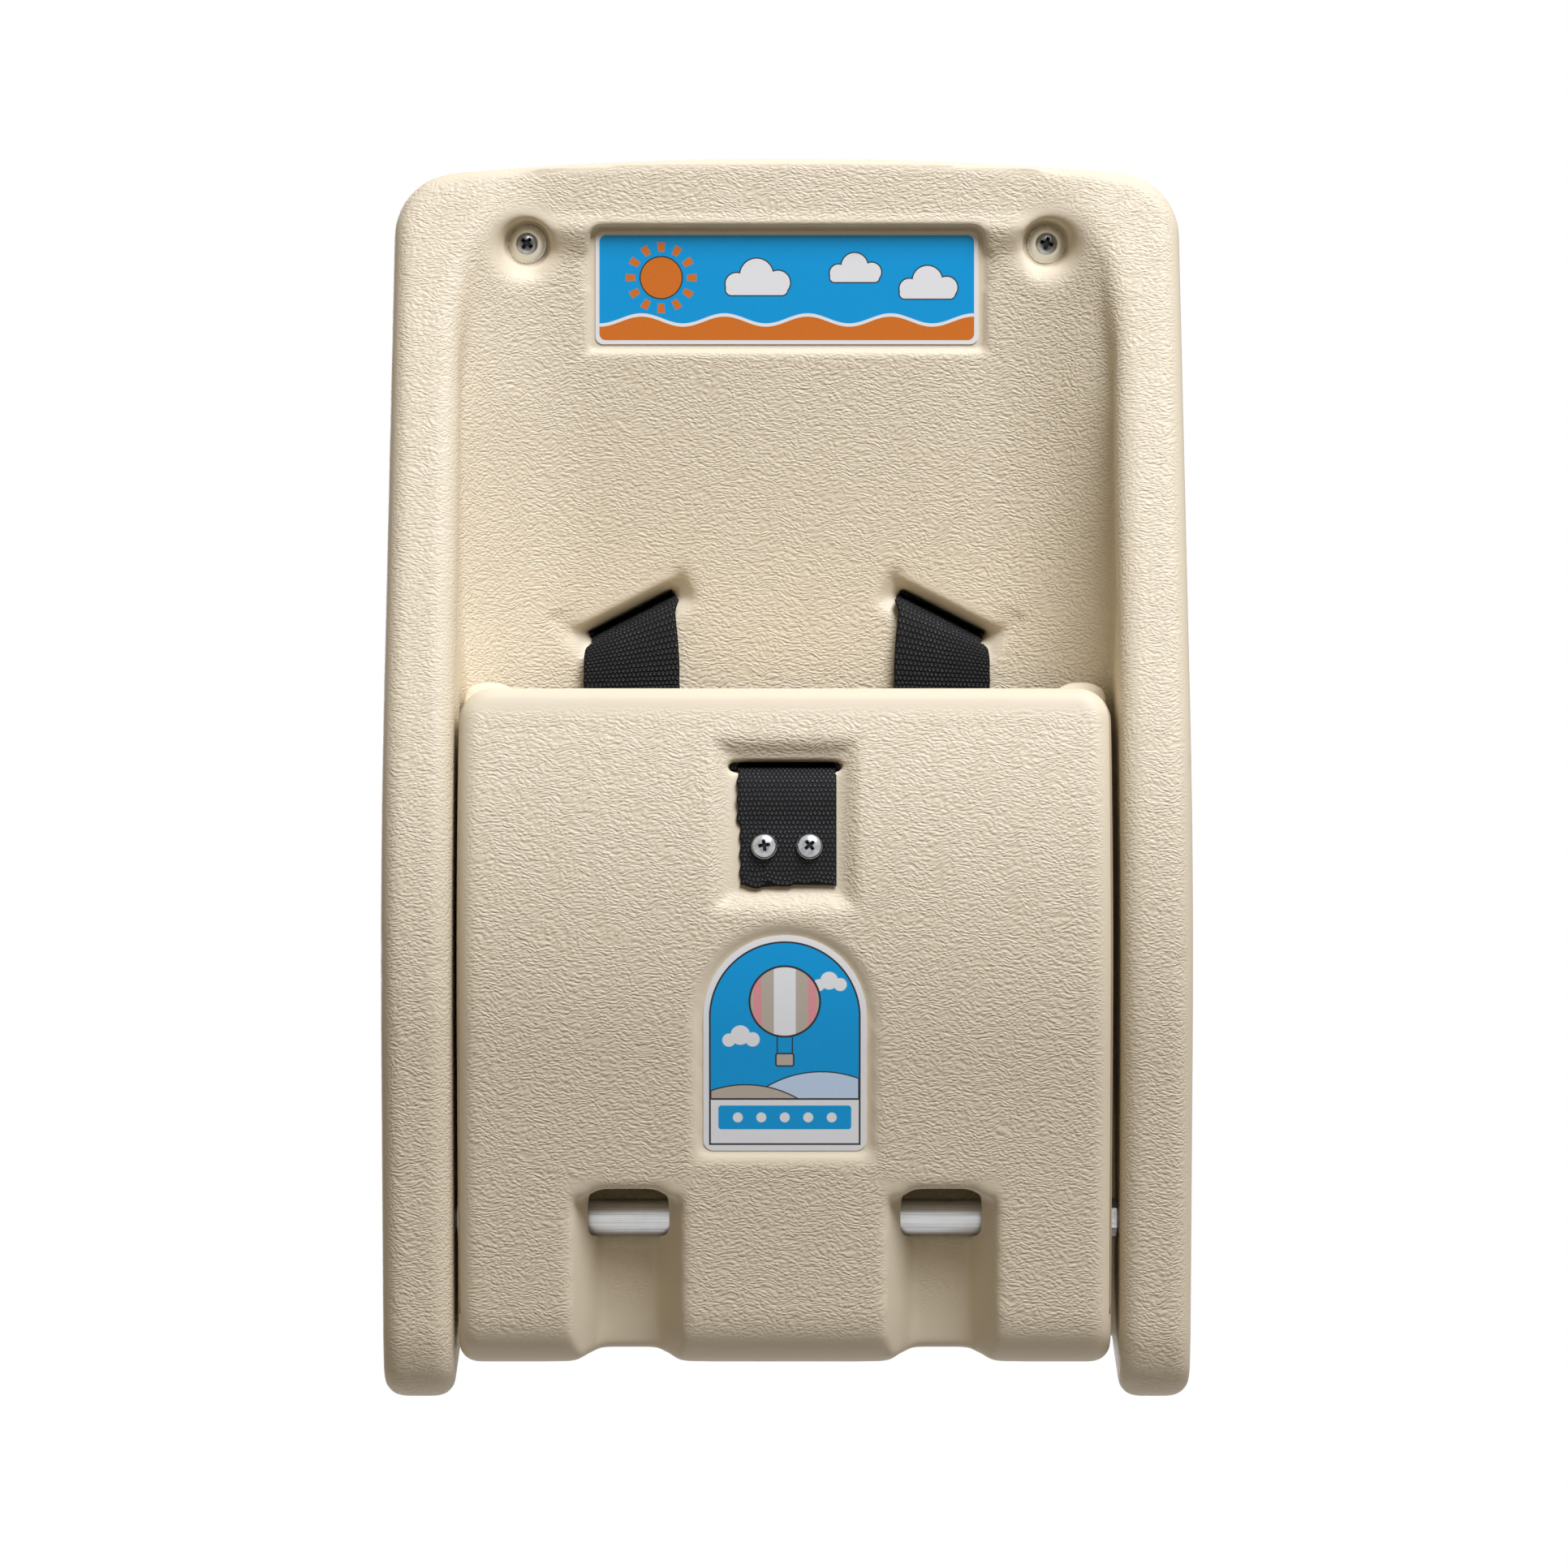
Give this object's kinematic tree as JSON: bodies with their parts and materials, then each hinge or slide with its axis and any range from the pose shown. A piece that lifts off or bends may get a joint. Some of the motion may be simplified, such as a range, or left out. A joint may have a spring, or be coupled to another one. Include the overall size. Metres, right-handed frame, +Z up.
{
  "type": "wall-mounted child seat",
  "caption": "Wall-mounted fold-down child seat: moulded back with side wings, hinged seat folded up on a rod, webbing harness with buckle.",
  "frame": {"origin": "centre of the four wall screws, in the wall plane", "axes": "+X to the right as seen from the front, +Y into the wall, +Z up"},
  "size_m": [0.312, 0.185, 0.4874],
  "materials": {
    "beige_moulding": "fine pebble grain",
    "pivot_metal": "drawn, brushed round",
    "screw_steel": "polished",
    "nut_steel": "bright",
    "bush_plastic": "smooth",
    "black_webbing": "woven",
    "buckle_plastic": "satin",
    "back_print": "printed film",
    "seat_print": "printed film"
  },
  "bodies": {
    "back": {"back_frame": "beige_moulding", "pivot_bushes": "bush_plastic", "wall_screws": "screw_steel", "wall_washers": "screw_steel", "left_shoulder_strap": "black_webbing", "right_shoulder_strap": "black_webbing", "harness_stub": "black_webbing", "shoulder_screws": "screw_steel", "shoulder_washers": "screw_steel", "buckle_socket": "buckle_plastic", "back_label": "back_print"},
    "seat": {"seat_shell": "beige_moulding", "pivot_rod": "pivot_metal", "left_pivot_bolt": "nut_steel", "right_pivot_bolt": "nut_steel", "pivot_head_washers": "nut_steel", "pivot_jam_nut": "nut_steel", "pivot_thrust_washer": "nut_steel", "crotch_strap": "black_webbing", "crotch_screws": "screw_steel", "crotch_washers": "screw_steel", "buckle_tongue": "buckle_plastic", "seat_label": "seat_print"}
  },
  "joints": [
    {"name": "seat_hinge", "type": "hinge", "parent": "back", "child": "seat", "pos_m": [0, -0.1144, -0.2309], "axis": [1, 0, 0], "range_deg": [0, 90]}
  ]
}
